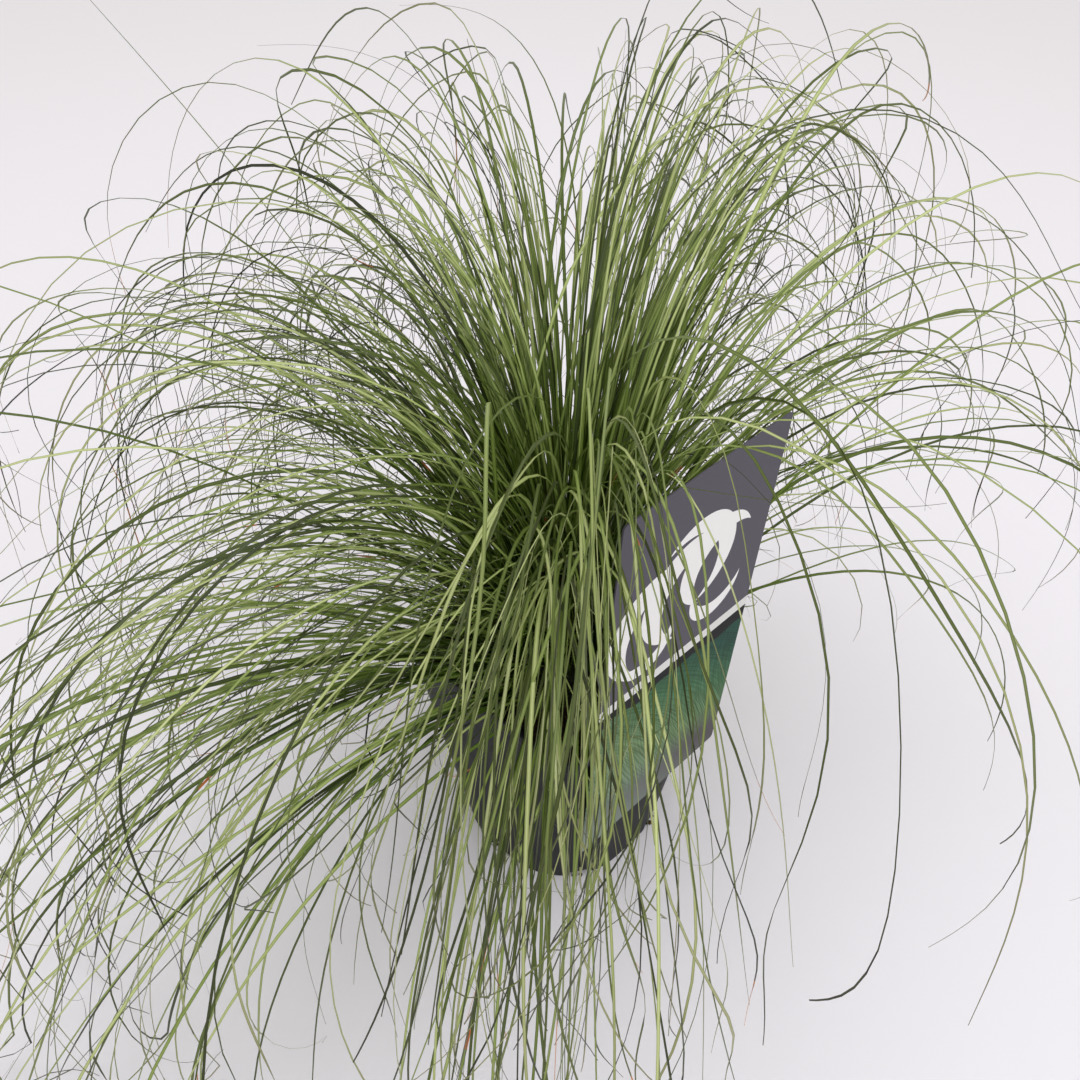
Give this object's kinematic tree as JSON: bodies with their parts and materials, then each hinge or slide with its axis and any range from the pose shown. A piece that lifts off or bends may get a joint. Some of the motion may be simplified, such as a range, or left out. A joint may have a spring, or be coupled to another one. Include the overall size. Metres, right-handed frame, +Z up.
{
  "type": "potted sedge",
  "caption": "Fine-leaved hair sedge arching out of a square plastic nursery pot, with peat compost and a blank picture card on the pot's front.",
  "frame": {"origin": "middle of the pot's foot, on the table", "axes": "+Z up; -Y is the front, towards which one corner of the pot points; +X is the right, on the card's side"},
  "size_m": [0.8097, 0.7234, 0.437],
  "materials": {
    "pot_plastic": "satin moulded",
    "compost": "crumbly peat",
    "leaf_base": "fibrous",
    "leaf": "satin leaf",
    "card": "printed satin"
  },
  "bodies": {
    "root": {"pot": "pot_plastic", "compost": "compost", "crown": "leaf_base", "card": "card", "leaves_back_right_tall_1": "leaf", "leaves_back_right_tall_2": "leaf", "leaves_back_right_tall_3": "leaf", "leaves_back_right_tall_4": "leaf", "leaves_back_right_tall_5": "leaf", "leaves_back_right_low_1": "leaf", "leaves_back_right_low_2": "leaf", "leaves_back_right_low_3": "leaf", "leaves_back_right_low_4": "leaf", "leaves_back_left_tall_1": "leaf", "leaves_back_left_tall_2": "leaf", "leaves_back_left_tall_3": "leaf", "leaves_back_left_tall_4": "leaf", "leaves_back_left_low_1": "leaf", "leaves_back_left_low_2": "leaf", "leaves_back_left_low_3": "leaf", "leaves_back_left_low_4": "leaf", "leaves_left_tall_1": "leaf", "leaves_left_tall_2": "leaf", "leaves_left_tall_3": "leaf", "leaves_left_tall_4": "leaf", "leaves_left_tall_5": "leaf", "leaves_left_low_1": "leaf", "leaves_left_low_2": "leaf", "leaves_left_low_3": "leaf", "leaves_left_low_4": "leaf", "leaves_left_low_5": "leaf", "leaves_front_left_tall_1": "leaf", "leaves_front_left_tall_2": "leaf", "leaves_front_left_tall_3": "leaf", "leaves_front_left_tall_4": "leaf", "leaves_front_left_tall_5": "leaf", "leaves_front_left_tall_6": "leaf", "leaves_front_left_low_1": "leaf", "leaves_front_left_low_2": "leaf", "leaves_front_left_low_3": "leaf", "leaves_front_left_low_4": "leaf", "leaves_front_left_low_5": "leaf", "leaves_front_left_low_6": "leaf", "leaves_front_tall_1": "leaf", "leaves_front_tall_2": "leaf", "leaves_front_tall_3": "leaf", "leaves_front_low_1": "leaf", "leaves_front_low_2": "leaf", "leaves_front_low_3": "leaf", "leaves_front_right_1": "leaf", "leaves_front_right_2": "leaf", "leaves_right_tall_1": "leaf", "leaves_right_tall_2": "leaf", "leaves_right_tall_3": "leaf", "leaves_right_tall_4": "leaf", "leaves_right_low_1": "leaf", "leaves_right_low_2": "leaf"}
  },
  "joints": []
}
